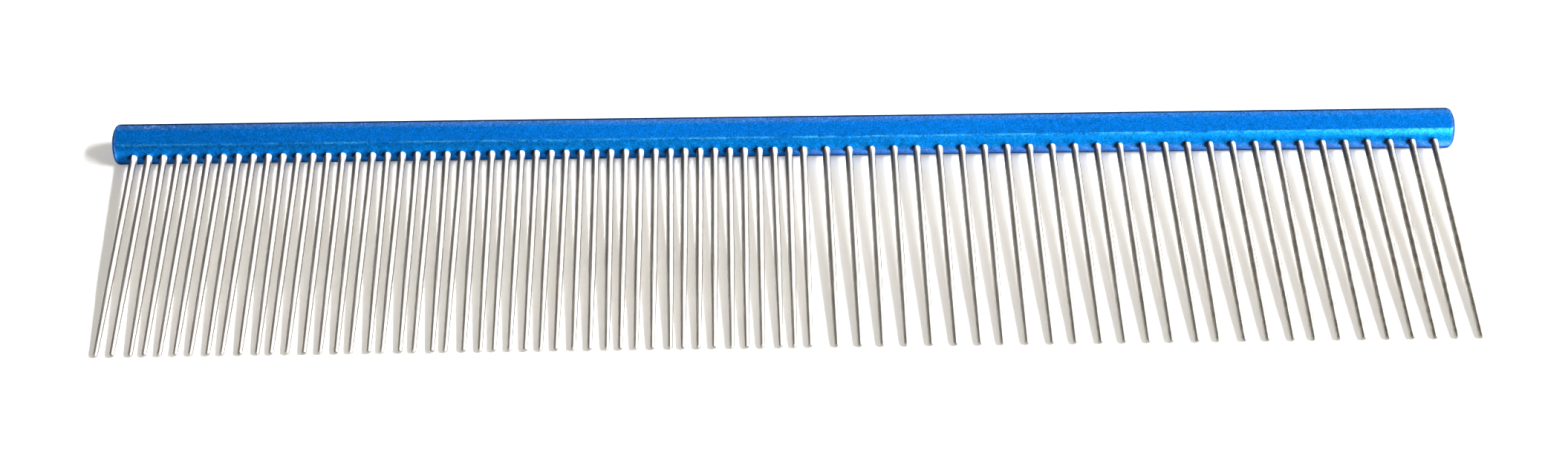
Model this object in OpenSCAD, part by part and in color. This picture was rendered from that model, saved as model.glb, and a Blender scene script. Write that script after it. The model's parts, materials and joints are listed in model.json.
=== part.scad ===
// Grooming comb: round metal teeth pressed into a drilled bar with two flats.
// It lies as on a table, on the front edge of its lower flat and on the tips of its teeth.

/* [Fine teeth] */
// Number of fine teeth
fine_count = 46; // [10:1:52]
// Spacing of the fine teeth
fine_pitch = 2.1; // [1.9:0.05:2.8]

/* [Coarse teeth] */
// Number of coarse teeth
coarse_count = 28; // [6:1:30]
// Spacing of the coarse teeth, and the step from the last fine tooth
coarse_pitch = 3.2; // [2.4:0.05:4.5]

/* [Tooth] */
// Diameter of a tooth where it leaves the spine
tooth_d = 1.05; // [0.8:0.05:1.2]
// Diameter of a tooth at its rounded tip
tip_d = 0.7; // [0.4:0.05:0.75]
// Length of a tooth in front of the spine
tooth_out = 38.4; // [25:0.1:50]
// Length of the slender taper that ends at the tip
taper_len = 16; // [4:0.5:20]
// Chamfer at the set end of a tooth
lead_in = 0.15; // [0.05:0.05:0.3]
// Greatest sideways lean of a hand-set tooth, in degrees
tooth_lean = 0.4; // [0:0.05:0.5]

/* [Spine] */
// Diameter of the bar across its round front and back
spine_d = 5.8; // [5.4:0.1:7]
// Thickness of the bar across its two flats
spine_t = 3.7; // [3:0.1:4.6]
// Bare length of the bar beyond the first and the last tooth
end_margin = 3.3; // [2.5:0.05:8]
// Radius of the shallow dome at both ends of the bar
end_dome = 7; // [6:0.5:20]
// Rounding of the rim of each dome
end_round = 0.8; // [0.2:0.1:1.2]
// Width of the broken edge where a flat meets the round
edge_break = 0.2; // [0.1:0.05:0.4]

/* [Fit] */
// Depth of a blind bore below the front of the bar
bore_depth = 4; // [2.5:0.1:4.6]
// Radial clearance between a tooth and its bore
bore_clear = 0.01; // [0.005:0.005:0.03]
// Width of the countersink round the mouth of a bore
countersink = 0.05; // [0.03:0.01:0.2]

/* [Hidden] */
$fn = 48;
lean_seed = 7;
teeth_per_fine_node = 2;
tooth_count = fine_count + coarse_count;
fine_node_count = ceil(fine_count / teeth_per_fine_node);

spine_r = spine_d / 2;
flat_h = spine_t / 2;
tooth_r = tooth_d / 2;
tip_r = tip_d / 2;
bore_r = tooth_r + bore_clear;

// The row of teeth sets the length of the bar
fine_span = (fine_count - 1) * fine_pitch;
row_len = fine_span + coarse_count * coarse_pitch;
spine_len = row_len + 2 * end_margin;

// The dome at an end of the bar runs smoothly into its round rim
dome_at = spine_len / 2 - end_dome;
rim_out = spine_r - end_round;
rim_at = dome_at + sqrt(pow(end_dome - end_round, 2) - pow(rim_out, 2));
dome_out = rim_out * end_dome / (end_dome - end_round);

// A tooth stands on the flat bottom of its bore
seat_at = spine_r - bore_depth;
tooth_len = bore_depth + tooth_out;
tip_at = tooth_len - tip_r;

// The broken edge lies halfway between the slope of the flat and that of the round
corner_angle = asin(flat_h / spine_r);
break_tilt = (90 - corner_angle) / 2;
break_depth = edge_break / (2 * tan(90 - break_tilt));
break_reach = spine_r * cos(break_tilt) - break_depth;
flat_edge = (break_reach - flat_h * cos(break_tilt)) / sin(break_tilt);

// The bar leans forward until the tips of the teeth touch the table too
tip_reach = seat_at + tip_at;
edge_to_tip = tip_reach - flat_edge;
lie_angle = atan2(flat_h, edge_to_tip) - asin(tip_r / norm([edge_to_tip, flat_h]));
axis_z = flat_edge * sin(lie_angle) + flat_h * cos(lie_angle);
axis_y = (tip_reach * cos(lie_angle) + tip_r - spine_r) / 2;

leans = rands(-tooth_lean, tooth_lean, tooth_count, lean_seed);

function two_digits(n) = str(n < 10 ? "0" : "", n);
function tooth_x(i) = -row_len / 2 + (i < fine_count
    ? i * fine_pitch
    : fine_span + (i - fine_count + 1) * coarse_pitch);
function first_in_fine_node(k) = k * teeth_per_fine_node;
function last_in_fine_node(k) = min((k + 1) * teeth_per_fine_node, fine_count) - 1;
function fine_name(k) =
    str("fine_teeth_", two_digits(first_in_fine_node(k) + 1), "_", two_digits(last_in_fine_node(k) + 1));
function coarse_name(k) = str("coarse_tooth_", two_digits(k + 1));

// From the comb's own frame, teeth along -Y and flats square to Z, to the way it lies
module lying() {
    translate([0, axis_y, axis_z]) rotate([lie_angle, 0, 0]) children();
}

// Stands children, drawn upwards from the bottom of a bore, at the place and lean of tooth i
module at_tooth(i) {
    translate([tooth_x(i), -spine_r, 0])
        rotate([0, 0, leans[i]])
            translate([0, bore_depth, 0])
                rotate([90, 0, 0])
                    children();
}

// Half outline of the round bar: straight side, and at both ends a round rim and a dome
module bar_outline() {
    translate([0, -rim_at]) square([spine_r, 2 * rim_at]);
    for (end = [-1, 1]) {
        translate([rim_out, end * rim_at]) circle(end_round);
        intersection() {
            translate([0, end * dome_at]) circle(end_dome);
            translate([0, -spine_len / 2]) square([dome_out, spine_len]);
        }
    }
}

// The round bar along X, with domed ends
module round_bar() {
    rotate([0, 90, 0]) rotate_extrude() bar_outline();
}

// The space between the two flats
module between_flats() {
    cube([2 * spine_len, 2 * spine_d, spine_t], center = true);
}

// The space between two opposite broken edges
module between_breaks(tilt) {
    rotate([tilt, 0, 0]) cube([2 * spine_len, 2 * spine_d, 2 * break_reach], center = true);
}

// What is drilled away for one tooth: a blind bore with a countersunk mouth
module bore_cut() {
    cylinder(h = bore_depth + spine_r, r = bore_r);
    translate([0, 0, bore_depth - countersink])
        cylinder(h = countersink + spine_r, r1 = bore_r, r2 = bore_r + countersink + spine_r);
}

// Half outline of a tooth: lead-in, straight shank, taper and round tip
module tooth_outline() {
    polygon([
        [0, 0],
        [tooth_r - lead_in, 0],
        [tooth_r, lead_in],
        [tooth_r, tooth_len - taper_len],
        [tip_r, tip_at],
        [0, tip_at]
    ]);
    intersection() {
        translate([0, tip_at]) circle(tip_r);
        translate([0, tip_at]) square(tip_r);
    }
}

module tooth(i) {
    lying() at_tooth(i) rotate_extrude() tooth_outline();
}

module spine() {
    color("royalblue")
        lying()
            difference() {
                intersection() {
                    round_bar();
                    between_flats();
                    between_breaks(break_tilt);
                    between_breaks(-break_tilt);
                }
                for (i = [0 : tooth_count - 1]) at_tooth(i) bore_cut();
            }
}

module fine_teeth(k) {
    color("silver")
        for (i = [first_in_fine_node(k) : last_in_fine_node(k)]) tooth(i);
}

module coarse_tooth(k) {
    color("silver") tooth(fine_count + k);
}

spine();
for (k = [0 : fine_node_count - 1])
    fine_teeth(k);
for (k = [0 : coarse_count - 1])
    coarse_tooth(k);
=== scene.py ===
"""A grooming comb on a white table: a blue anodised spine and two rows of round steel teeth."""

import json
import math

import bpy
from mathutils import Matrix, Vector


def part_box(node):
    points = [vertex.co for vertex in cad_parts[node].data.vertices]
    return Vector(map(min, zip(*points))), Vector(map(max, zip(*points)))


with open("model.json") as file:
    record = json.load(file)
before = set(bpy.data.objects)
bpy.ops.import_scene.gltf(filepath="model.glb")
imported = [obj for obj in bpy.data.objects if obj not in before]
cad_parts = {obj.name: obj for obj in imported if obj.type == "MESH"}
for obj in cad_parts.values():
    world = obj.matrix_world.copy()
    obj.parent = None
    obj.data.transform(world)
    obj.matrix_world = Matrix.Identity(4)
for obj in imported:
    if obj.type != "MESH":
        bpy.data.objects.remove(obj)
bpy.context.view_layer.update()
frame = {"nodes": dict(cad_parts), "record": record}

# Sizes in metres, as in the frame
MM = 0.001
SPINE_LOW, SPINE_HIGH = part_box("spine")
SPINE_LENGTH = SPINE_HIGH.x - SPINE_LOW.x
SPINE_RADIUS = (SPINE_HIGH.y - SPINE_LOW.y) / 2
SPINE_AXIS_Y = (SPINE_LOW.y + SPINE_HIGH.y) / 2
UPPER_FLAT = next(m for m in frame["record"]["mounts"] if m["name"] == "upper_flat")
LIE_ANGLE = math.asin(-UPPER_FLAT["axis"][1])
AXIS_Z = (SPINE_LOW.z + SPINE_HIGH.z) / 2
FLAT_HEIGHT = (UPPER_FLAT["pos_m"][2] - AXIS_Z) / math.cos(LIE_ANGLE)
CORNER_OUT = math.sqrt(SPINE_RADIUS**2 - FLAT_HEIGHT**2)
ROOT_Y = SPINE_AXIS_Y - SPINE_RADIUS
END_DOME = 7 * MM
MIDDLE = 0.0

# The photograph's view: image size in pixels, focal length in pixels, and the camera's place
PHOTO_WIDTH = 2111
FOCAL_PIXELS = 4154.7
SENSOR_WIDTH_MM = 36
CAMERA_PLACE = Vector((-7.81, -314.62, 286.97)) * MM
CAMERA_ELEVATION = math.radians(42.167)
CAMERA_ROLL = math.radians(-0.086)
CAMERA_HEADING = math.radians(-1.224)

# Colours of the spine
DYE = (0.004, 0.172, 0.637, 1)
DYE_CLOUDED = (0.004, 0.191, 0.702, 1)
BACK_VIOLET = (0.078, 0.221, 0.598, 1)
EDGE_WEAR_AND_HIGHLIGHT = (0.065, 0.494, 1, 1)
BACK_EDGE_PAINTED_DARK = (0.0013, 0.0078, 0.039, 1)
SCUFF = (0.312, 0.52, 1, 1)
FRONT_PAINTED_SHEEN = (0.0013, 0.299, 0.858, 1)
FRONT_PAINTED_HIGHLIGHT = (0.052, 0.546, 1, 1)
LOW_REFLECTION_FINE_PAINTED = (0.025, 0.14, 0.45, 1)
LOW_REFLECTION_COARSE_PAINTED = (0.13, 0.35, 0.92, 1)
END_BAND = (0.091, 0.234, 0.598, 1)
END_RIM_PAINTED_SHADE = (0.0065, 0.026, 0.117, 1)
ROOT_SHADE = (0.0005, 0.004, 0.02, 1)
SPINE_TINT = (0.2, 0.5, 1, 1)

# Finish of the spine: sizes of its patterns as noise scales, and how far its marks reach
GRAIN_SCALE = 4800
MOTTLE_SCALE = 1500
CLOUD_SCALE = 120
RUB_SCALE = 1200
SCUFF_SCALE = 1700
GRAIN_SHARE = 0.72
MOTTLE_SHARE = 0.28
GRAIN_DEPTH = 0.03 * MM
EDGE_ROUNDING = 0.4 * MM
ROOT_SHADE_REACH = 1.5 * MM
ROOT_SHADE_AIM = (1.5, 0, 0)

# Colours of the teeth
STEEL = (0.58, 0.56, 0.53, 1)
STEEL_TARNISHED = (0.47, 0.44, 0.41, 1)
STAIN = (0.30, 0.27, 0.22, 1)
LEFT_FLANK_SHADE = (0.03, 0.035, 0.05, 1)
PALE_CAP_PAINTED = (0.76, 0.75, 0.73, 1)

# Finish of the teeth
RING_SCALE = 9000
TARNISH_SCALE = 420
STREAK_SCALE = 1300
RING_DEPTH = 0.01 * MM
ANISOTROPY = 0.85
QUARTER_TURN = 0.25

# The table and the studio: the table's glow where it lies open, where the comb is close (lower there, a
# painted contact shade), and in the metal
TABLE_PAINT = (0.97, 0.97, 0.965, 1)
TABLE_GLOW = (1, 0.96, 0.87, 1)
GLOW_OPEN = 0.335
GLOW_IN_PAINTED_SHADE = 0.15
GLOW_MIRRORED = 0.2
CLOSE_REACH = 5 * MM
TABLE_HALF = 4.0
TABLE_GAP = 0.02 * MM
SKY = (1, 0.975, 0.94, 1)
SKY_LEVEL = 0.22
FULL_SPREAD = 180


class Nodes:
    """A short way to add and join the nodes of one shader tree."""

    def __init__(self, tree):
        self.tree = tree
        tree.nodes.clear()

    def add(self, kind, inputs=None, **settings):
        node = self.tree.nodes.new(kind)
        for name, value in settings.items():
            setattr(node, name, value)
        for name, value in (inputs or {}).items():
            self.put(node.inputs[name], value)
        return node

    def put(self, socket, value):
        if isinstance(value, bpy.types.NodeSocket):
            self.tree.links.new(value, socket)
        else:
            socket.default_value = value

    def math(self, operation, *values):
        node = self.add("ShaderNodeMath", operation=operation)
        for socket, value in zip(node.inputs, values):
            self.put(socket, value)
        return node.outputs[0]

    def times(self, first, *others):
        product = first
        for other in others:
            product = self.math("MULTIPLY", product, other)
        return product

    def reach(self, first, second):
        """length of the hypotenuse over two sides"""
        squares = self.math("ADD", self.math("POWER", first, 2), self.math("POWER", second, 2))
        return self.math("SQRT", squares)

    def vector_math(self, operation, *values):
        node = self.add("ShaderNodeVectorMath", operation=operation)
        for socket, value in zip(node.inputs, values):
            self.put(socket, value)
        return node

    def axes(self, vector):
        return self.add("ShaderNodeSeparateXYZ", {"Vector": vector}).outputs

    def ramp(self, value, low, high, to_low=0.0, to_high=1.0):
        """value taken smoothly from low..high to to_low..to_high, and held outside"""
        inputs = {"Value": value, "From Min": low, "From Max": high, "To Min": to_low, "To Max": to_high}
        return self.add("ShaderNodeMapRange", inputs, interpolation_type="SMOOTHSTEP").outputs["Result"]

    def mix(self, factor, first, second):
        node = self.add("ShaderNodeMix", data_type="RGBA")
        for index, value in ((0, factor), (6, first), (7, second)):
            self.put(node.inputs[index], value)
        return node.outputs[2]

    def noise(self, vector, scale, detail, roughness):
        inputs = {"Vector": vector, "Scale": scale, "Detail": detail, "Roughness": roughness}
        return self.add("ShaderNodeTexNoise", inputs).outputs["Fac"]

    def stretched(self, vector, scale):
        return self.add("ShaderNodeMapping", {"Vector": vector, "Scale": scale}).outputs["Vector"]

    def openness(self, inputs):
        """share of the sky that nothing covers within the given distance"""
        return self.add("ShaderNodeAmbientOcclusion", inputs, samples=8).outputs["AO"]


def new_material(name):
    material = bpy.data.materials.new(name)
    material.use_nodes = True
    return material, Nodes(material.node_tree)


def anodised_blue():
    """Bead-blasted aluminium under a blue dyed oxide, with paler lines along the flats, partly wear and
    partly painted highlight.
    """
    material, n = new_material("anodised_blue")
    place = n.add("ShaderNodeTexCoord").outputs["Object"]
    normal = n.add("ShaderNodeNewGeometry").outputs["Normal"]

    # From the axis of the spine, across runs towards the teeth and height is square to the flats
    own = n.add(
        "ShaderNodeMapping",
        {"Vector": place, "Location": (0, SPINE_AXIS_Y, AXIS_Z), "Rotation": (LIE_ANGLE, 0, 0)},
        vector_type="TEXTURE",
    ).outputs["Vector"]
    along, backwards, upwards = n.axes(own)
    across = n.math("ABSOLUTE", backwards)
    height = n.math("ABSOLUTE", upwards)

    grain = n.noise(place, GRAIN_SCALE, detail=1.0, roughness=0.5)
    mottle = n.noise(place, MOTTLE_SCALE, detail=2.0, roughness=0.5)
    clouds = n.noise(n.stretched(place, (0.35, 1, 1)), CLOUD_SCALE, detail=3.0, roughness=0.5)
    colour = n.mix(n.ramp(clouds, 0.35, 0.65), DYE, DYE_CLOUDED)

    # Paler broken line where each flat meets the round: rubbed wear, with a painted highlight that grows
    # stronger towards the coarse end
    from_corner = n.math("SUBTRACT", across, CORNER_OUT)
    from_flat = n.math("SUBTRACT", height, FLAT_HEIGHT)
    at_edge = n.ramp(n.reach(from_corner, from_flat), 0.08 * MM, 0.26 * MM, to_low=1.0, to_high=0.0)
    rubs = n.noise(n.stretched(place, (0.3, 1, 1)), RUB_SCALE, detail=4.0, roughness=0.7)
    wear_and_highlight = n.ramp(along, SPINE_LOW.x, MIDDLE, to_low=0.45, to_high=0.85)
    colour = n.mix(n.times(at_edge, n.ramp(rubs, 0.38, 0.60), wear_and_highlight), colour, EDGE_WEAR_AND_HIGHLIGHT)

    # Towards the back edge of each flat the colour turns violet, most of all at the fine end
    on_flat = n.ramp(height, FLAT_HEIGHT - 0.2 * MM, FLAT_HEIGHT - 0.1 * MM)
    violet = n.ramp(backwards, CORNER_OUT - 1.7 * MM, CORNER_OUT - 0.45 * MM, to_high=0.85)
    fading = n.ramp(along, MIDDLE, 60 * MM, to_low=1.0, to_high=0.55)
    colour = n.mix(n.times(on_flat, violet, fading), colour, BACK_VIOLET)

    # The fine end is scuffed there
    scuffs = n.noise(n.stretched(place, (0.5, 1, 1)), SCUFF_SCALE, detail=3.0, roughness=0.6)
    near_back = n.ramp(backwards, CORNER_OUT - 1.5 * MM, CORNER_OUT - 0.7 * MM)
    at_fine_end = n.ramp(along, SPINE_LOW.x + 6 * MM, SPINE_LOW.x + 12 * MM, to_low=0.8, to_high=0.0)
    scuffed = n.times(n.ramp(scuffs, 0.54, 0.66), near_back, on_flat, at_fine_end)
    colour = n.mix(scuffed, colour, SCUFF)
    # Along the back edge of each flat a nearly black line is painted: a painted dark reflection
    painted_dark_line = n.ramp(backwards, CORNER_OUT - 0.40 * MM, CORNER_OUT - 0.30 * MM, to_high=0.9)
    colour = n.mix(n.times(on_flat, painted_dark_line), colour, BACK_EDGE_PAINTED_DARK)

    # The round front is a little greener and lighter: a painted sheen
    front = n.ramp(backwards, -CORNER_OUT + 0.1 * MM, -CORNER_OUT - 0.1 * MM)
    sheen_strength = n.ramp(along, SPINE_LOW.x, MIDDLE, to_low=0.1, to_high=0.4)
    colour = n.mix(n.times(front, sheen_strength), colour, FRONT_PAINTED_SHEEN)
    # Paler towards the coarse end: a painted highlight
    high = n.ramp(upwards, 0.9 * MM, 1.7 * MM)
    at_coarse_end = n.ramp(along, 72 * MM, SPINE_HIGH.x, to_high=0.4)
    colour = n.mix(n.times(front, high, at_coarse_end), colour, FRONT_PAINTED_HIGHLIGHT)
    # Below the teeth it turns violet: a painted reflection of the table, darker among the fine teeth
    low = n.ramp(upwards, 0.5 * MM, -0.8 * MM, to_high=0.9)
    low_painted_reflection = n.mix(n.ramp(along, -2 * MM, 6 * MM), LOW_REFLECTION_FINE_PAINTED, LOW_REFLECTION_COARSE_PAINTED)
    colour = n.mix(n.times(front, low), colour, low_painted_reflection)

    # The rims of the domed ends get painted dark shade, behind a violet band
    endwards = n.math("ABSOLUTE", n.axes(normal)["X"])
    out = n.reach(across, height)
    dome_rise = n.math("SQRT", n.math("SUBTRACT", END_DOME**2, n.math("POWER", out, 2)))
    dome_sag = n.math("SUBTRACT", END_DOME, dome_rise)
    to_end = n.math("SUBTRACT", SPINE_LENGTH / 2, n.math("ADD", dome_sag, n.math("ABSOLUTE", along)))
    flat_band = n.times(on_flat, n.ramp(to_end, 0.2 * MM, 0.6 * MM, to_low=1.0, to_high=0.0))
    round_band = n.ramp(endwards, 0.1, 0.5)
    colour = n.mix(n.times(n.math("MAXIMUM", flat_band, round_band), 0.6), colour, END_BAND)
    flat_rim = n.times(on_flat, n.ramp(to_end, 0.06 * MM, 0.2 * MM, to_low=1.0, to_high=0.0))
    round_rim = n.times(n.ramp(endwards, 0.5, 0.75), n.ramp(endwards, 0.88, 0.95, to_low=1.0, to_high=0.0))
    colour = n.mix(n.times(n.math("MAXIMUM", flat_rim, round_rim), 0.8), colour, END_RIM_PAINTED_SHADE)

    # The blasted grain lightens and darkens all of these
    speck = n.math("ADD", n.times(grain, GRAIN_SHARE), n.times(mottle, MOTTLE_SHARE))
    lighter = n.ramp(speck, 0.48, 0.72, to_low=1.0, to_high=1.8)
    darker = n.ramp(speck, 0.27, 0.5, to_low=0.49, to_high=1.0)
    grained = n.vector_math("SCALE", colour)
    n.put(grained.inputs["Scale"], n.times(lighter, darker))
    colour = grained.outputs["Vector"]

    # Each tooth shades the metal on its left
    to_right = n.vector_math("ADD", normal, ROOT_SHADE_AIM).outputs["Vector"]
    aimed = n.vector_math("NORMALIZE", to_right).outputs["Vector"]
    free = n.openness({"Distance": ROOT_SHADE_REACH, "Normal": aimed})
    shaded = n.times(front, n.ramp(free, 0.33, 0.72, to_low=0.95, to_high=0.0))
    colour = n.mix(shaded, colour, ROOT_SHADE)

    roughness = n.ramp(mottle, 0.3, 0.7, to_low=0.34, to_high=0.42)
    rounded = n.add("ShaderNodeBevel", {"Radius": EDGE_ROUNDING}, samples=6).outputs["Normal"]
    bump_inputs = {"Height": grain, "Strength": 0.2, "Distance": GRAIN_DEPTH, "Normal": rounded}
    bump = n.add("ShaderNodeBump", bump_inputs)
    shader = n.add(
        "ShaderNodeBsdfPrincipled",
        {
            "Base Color": colour,
            "Roughness": roughness,
            "Metallic": 1.0,
            "Normal": bump.outputs["Normal"],
            "Specular Tint": SPINE_TINT,
        },
    )
    n.add("ShaderNodeOutputMaterial", {"Surface": shader.outputs["BSDF"]})
    return material


def polished_steel():
    """Steel pins ground round their axis, so that their gloss spreads along the pin, with some tarnish."""
    material, n = new_material("polished_steel")
    place = n.add("ShaderNodeTexCoord").outputs["Object"]
    normal = n.add("ShaderNodeNewGeometry").outputs["Normal"]
    along, root, _ = n.axes(place)
    facing = n.axes(normal)["X"]

    rings = n.noise(n.stretched(place, (0.3, 1, 0.3)), RING_SCALE, detail=3.0, roughness=0.6)
    tarnish = n.noise(n.stretched(place, (1, 0.35, 1)), TARNISH_SCALE, detail=4.0, roughness=0.6)
    colour = n.mix(n.ramp(tarnish, 0.35, 0.7), STEEL, STEEL_TARNISHED)

    # Towards the coarse end the pins are duller and stained in streaks
    streaks = n.noise(n.stretched(place, (1, 0.5, 1)), STREAK_SCALE, detail=3.0, roughness=0.6)
    coarse = n.ramp(along, 10 * MM, SPINE_HIGH.x, to_low=0.1, to_high=0.9)
    colour = n.mix(n.times(n.ramp(streaks, 0.35, 0.65), coarse), colour, STAIN)

    # Where a pin leaves the spine its left flank gets painted dark shade, a little wider at the fine end
    near_root = n.ramp(root, ROOT_Y - 8 * MM, ROOT_Y - 1.6 * MM)
    wider = n.ramp(along, SPINE_LOW.x, SPINE_HIGH.x, to_low=0.1, to_high=0.0)
    shaded_left = n.ramp(n.math("SUBTRACT", facing, wider), -0.3, -0.7, to_high=0.87)
    colour = n.mix(n.times(near_root, shaded_left), colour, LEFT_FLANK_SHADE)

    # Its top and right side there get a painted pale highlight and are made less metallic
    at_root = n.ramp(root, ROOT_Y - 1.6 * MM, ROOT_Y - 0.2 * MM)
    painted_pale_cap = n.times(at_root, n.ramp(facing, -0.5, 0.0, to_high=0.75))
    colour = n.mix(painted_pale_cap, colour, PALE_CAP_PAINTED)
    metallic = n.math("SUBTRACT", 1.0, painted_pale_cap)

    roughness = n.ramp(n.math("ADD", rings, tarnish), 0.7, 1.3, to_low=0.36, to_high=0.46)
    bump = n.add("ShaderNodeBump", {"Height": rings, "Strength": 0.15, "Distance": RING_DEPTH})
    around = n.add("ShaderNodeTangent", direction_type="RADIAL", axis="Y").outputs["Tangent"]
    shader = n.add(
        "ShaderNodeBsdfPrincipled",
        {
            "Base Color": colour,
            "Roughness": roughness,
            "Metallic": metallic,
            "Normal": bump.outputs["Normal"],
            "Anisotropic": ANISOTROPY,
            "Anisotropic Rotation": QUARTER_TURN,
            "Tangent": around,
        },
    )
    n.add("ShaderNodeOutputMaterial", {"Surface": shader.outputs["BSDF"]})
    return material


def white_table():
    """A white table with a faint glow, seen directly or in the metal, so that only the shadow is grey; the
    glow is lower where the comb is close, a painted contact shade.
    """
    material, n = new_material("white_table")
    paint = n.add("ShaderNodeBsdfDiffuse", {"Color": TABLE_PAINT})
    ray = n.add("ShaderNodeLightPath").outputs
    mirrored = n.math("MAXIMUM", ray["Is Glossy Ray"], ray["Is Transmission Ray"])
    # Less glow where the comb comes close: painted contact shade
    open_sky = n.openness({"Distance": CLOSE_REACH})
    level = n.ramp(open_sky, 0.08, 0.34, to_low=GLOW_IN_PAINTED_SHADE, to_high=GLOW_OPEN)
    direct = n.times(ray["Is Camera Ray"], level)
    seen = n.math("MAXIMUM", direct, n.times(mirrored, GLOW_MIRRORED))
    glow = n.add("ShaderNodeEmission", {"Color": TABLE_GLOW, "Strength": seen})
    both = n.add("ShaderNodeAddShader")
    n.put(both.inputs[0], paint.outputs["BSDF"])
    n.put(both.inputs[1], glow.outputs["Emission"])
    n.add("ShaderNodeOutputMaterial", {"Surface": both.outputs["Shader"]})
    return material


def dress(node, material):
    node.data.materials.clear()
    node.data.materials.append(material)


def add_floor():
    half = TABLE_HALF
    corners = [(-half, -half, 0), (half, -half, 0), (half, half, 0), (-half, half, 0)]
    mesh = bpy.data.meshes.new("floor")
    mesh.from_pydata(corners, [], [(0, 1, 2, 3)])
    floor = bpy.data.objects.new("floor", mesh)
    floor.location.z = -TABLE_GAP
    bpy.context.scene.collection.objects.link(floor)
    dress(floor, white_table())
    return floor


def add_panel(
    name, azimuth, elevation, width, height, distance, glow,
    lights=None, blocked_by=None, aim_x=0.0, spread=FULL_SPREAD,
):
    """A softbox that faces the comb at aim_x.

    All angles are in degrees as seen from there, azimuth from +Y towards +X. glow is its brightness, where 1
    is a white surface in full light. lights is what it shines on, and blocked_by what shades it, if not all.
    """
    turn = math.radians(azimuth)
    rise = math.radians(elevation)
    level = math.cos(rise)
    towards = Vector((math.sin(turn) * level, math.cos(turn) * level, math.sin(rise)))
    light = bpy.data.lights.new(name, "AREA")
    light.shape = "RECTANGLE"
    light.size = 2 * distance * math.tan(math.radians(width) / 2)
    light.size_y = 2 * distance * math.tan(math.radians(height) / 2)
    light.energy = glow * math.pi * light.size * light.size_y
    light.spread = math.radians(spread)
    if spread < FULL_SPREAD:
        half_spread = light.spread / 2
        light.energy *= 1 - half_spread / math.tan(half_spread)
    lamp = bpy.data.objects.new(name, light)
    lamp.location = towards * distance + Vector((aim_x, 0, 0))
    lamp.rotation_mode = "QUATERNION"
    lamp.rotation_quaternion = towards.to_track_quat("Z", "Y")
    lamp.visible_camera = False
    lamp.light_linking.receiver_collection = lights
    lamp.light_linking.blocker_collection = blocked_by
    bpy.context.scene.collection.objects.link(lamp)


def add_world(level):
    world = bpy.data.worlds.new("studio")
    world.use_nodes = True
    n = Nodes(world.node_tree)
    sky = n.add("ShaderNodeBackground", {"Color": SKY, "Strength": level})
    n.add("ShaderNodeOutputWorld", {"Surface": sky.outputs["Background"]})
    bpy.context.scene.world = world


def add_camera():
    data = bpy.data.cameras.new("camera")
    data.sensor_fit = "HORIZONTAL"
    data.sensor_width = SENSOR_WIDTH_MM
    data.lens = FOCAL_PIXELS / PHOTO_WIDTH * SENSOR_WIDTH_MM
    data.clip_start = 10 * MM
    camera = bpy.data.objects.new("camera", data)
    camera.location = CAMERA_PLACE
    camera.rotation_euler = (math.pi / 2 - CAMERA_ELEVATION, CAMERA_ROLL, CAMERA_HEADING)
    bpy.context.scene.collection.objects.link(camera)
    bpy.context.scene.camera = camera


def group(name, members):
    collection = bpy.data.collections.new(name)
    for member in members:
        collection.objects.link(member)
    return collection


add_camera()
floor = add_floor()
add_world(SKY_LEVEL)

# What a lamp may shine on or be shaded by
nodes = frame["nodes"]
spine_only = group("spine_only", [nodes["spine"]])
teeth_only = group("teeth_only", [node for name, node in nodes.items() if name != "spine"])
fine_only = group("fine_only", [node for name, node in nodes.items() if name.startswith("fine")])
coarse_only = group("coarse_only", [node for name, node in nodes.items() if name.startswith("coarse")])
table_only = group("table_only", [floor])

# The key light comes from the right and casts the shadows
add_panel("key_right", azimuth=96, elevation=39.5, width=40, height=5, distance=2.4, glow=41.0)
add_panel("key_low", azimuth=96, elevation=30, width=40, height=12, distance=2.4, glow=12.6)
add_panel(
    "table_right", azimuth=0, elevation=90, width=60, height=60, distance=0.12, glow=0.45,
    lights=table_only, blocked_by=teeth_only, aim_x=60 * MM,
)

# Cards that the spine mirrors
add_panel(
    "spine_back", azimuth=38, elevation=42, width=76, height=50, distance=2.5, glow=0.94,
    lights=spine_only,
)
add_panel(
    "spine_overhead", azimuth=90, elevation=78, width=50, height=24, distance=1.0, glow=2.31,
    lights=spine_only, aim_x=80 * MM, spread=26,
)
add_panel(
    "spine_zenith", azimuth=0, elevation=86, width=70, height=24, distance=1.5, glow=0.86,
    lights=spine_only,
)
add_panel(
    "spine_front_right", azimuth=150, elevation=24, width=24, height=22, distance=1.5, glow=7.3,
    lights=spine_only,
)
add_panel(
    "spine_front_left", azimuth=205, elevation=22, width=70, height=30, distance=1.5, glow=0.08,
    lights=spine_only,
)
add_panel(
    "spine_front_low", azimuth=140, elevation=4, width=50, height=20, distance=1.5, glow=2.7,
    lights=spine_only,
)

# Cards that the teeth mirror
add_panel(
    "teeth_back", azimuth=50, elevation=42, width=56, height=50, distance=2.5, glow=2.2,
    lights=teeth_only, blocked_by=teeth_only,
)
add_panel(
    "teeth_overhead", azimuth=90, elevation=60, width=40, height=36, distance=2.5, glow=2.6,
    lights=teeth_only, blocked_by=teeth_only,
)
add_panel(
    "teeth_right", azimuth=90, elevation=10, width=80, height=22, distance=1.5, glow=2.0,
    lights=teeth_only, blocked_by=teeth_only,
)
add_panel(
    "fine_overhead", azimuth=90, elevation=88, width=80, height=22, distance=1.5, glow=3.6,
    lights=fine_only, blocked_by=teeth_only,
)
add_panel(
    "coarse_left", azimuth=270, elevation=48, width=80, height=34, distance=1.5, glow=0.25,
    lights=coarse_only, blocked_by=teeth_only,
)

bpy.context.scene.view_settings.view_transform = "Standard"

blue = anodised_blue()
steel = polished_steel()
for name, node in nodes.items():
    dress(node, blue if name == "spine" else steel)
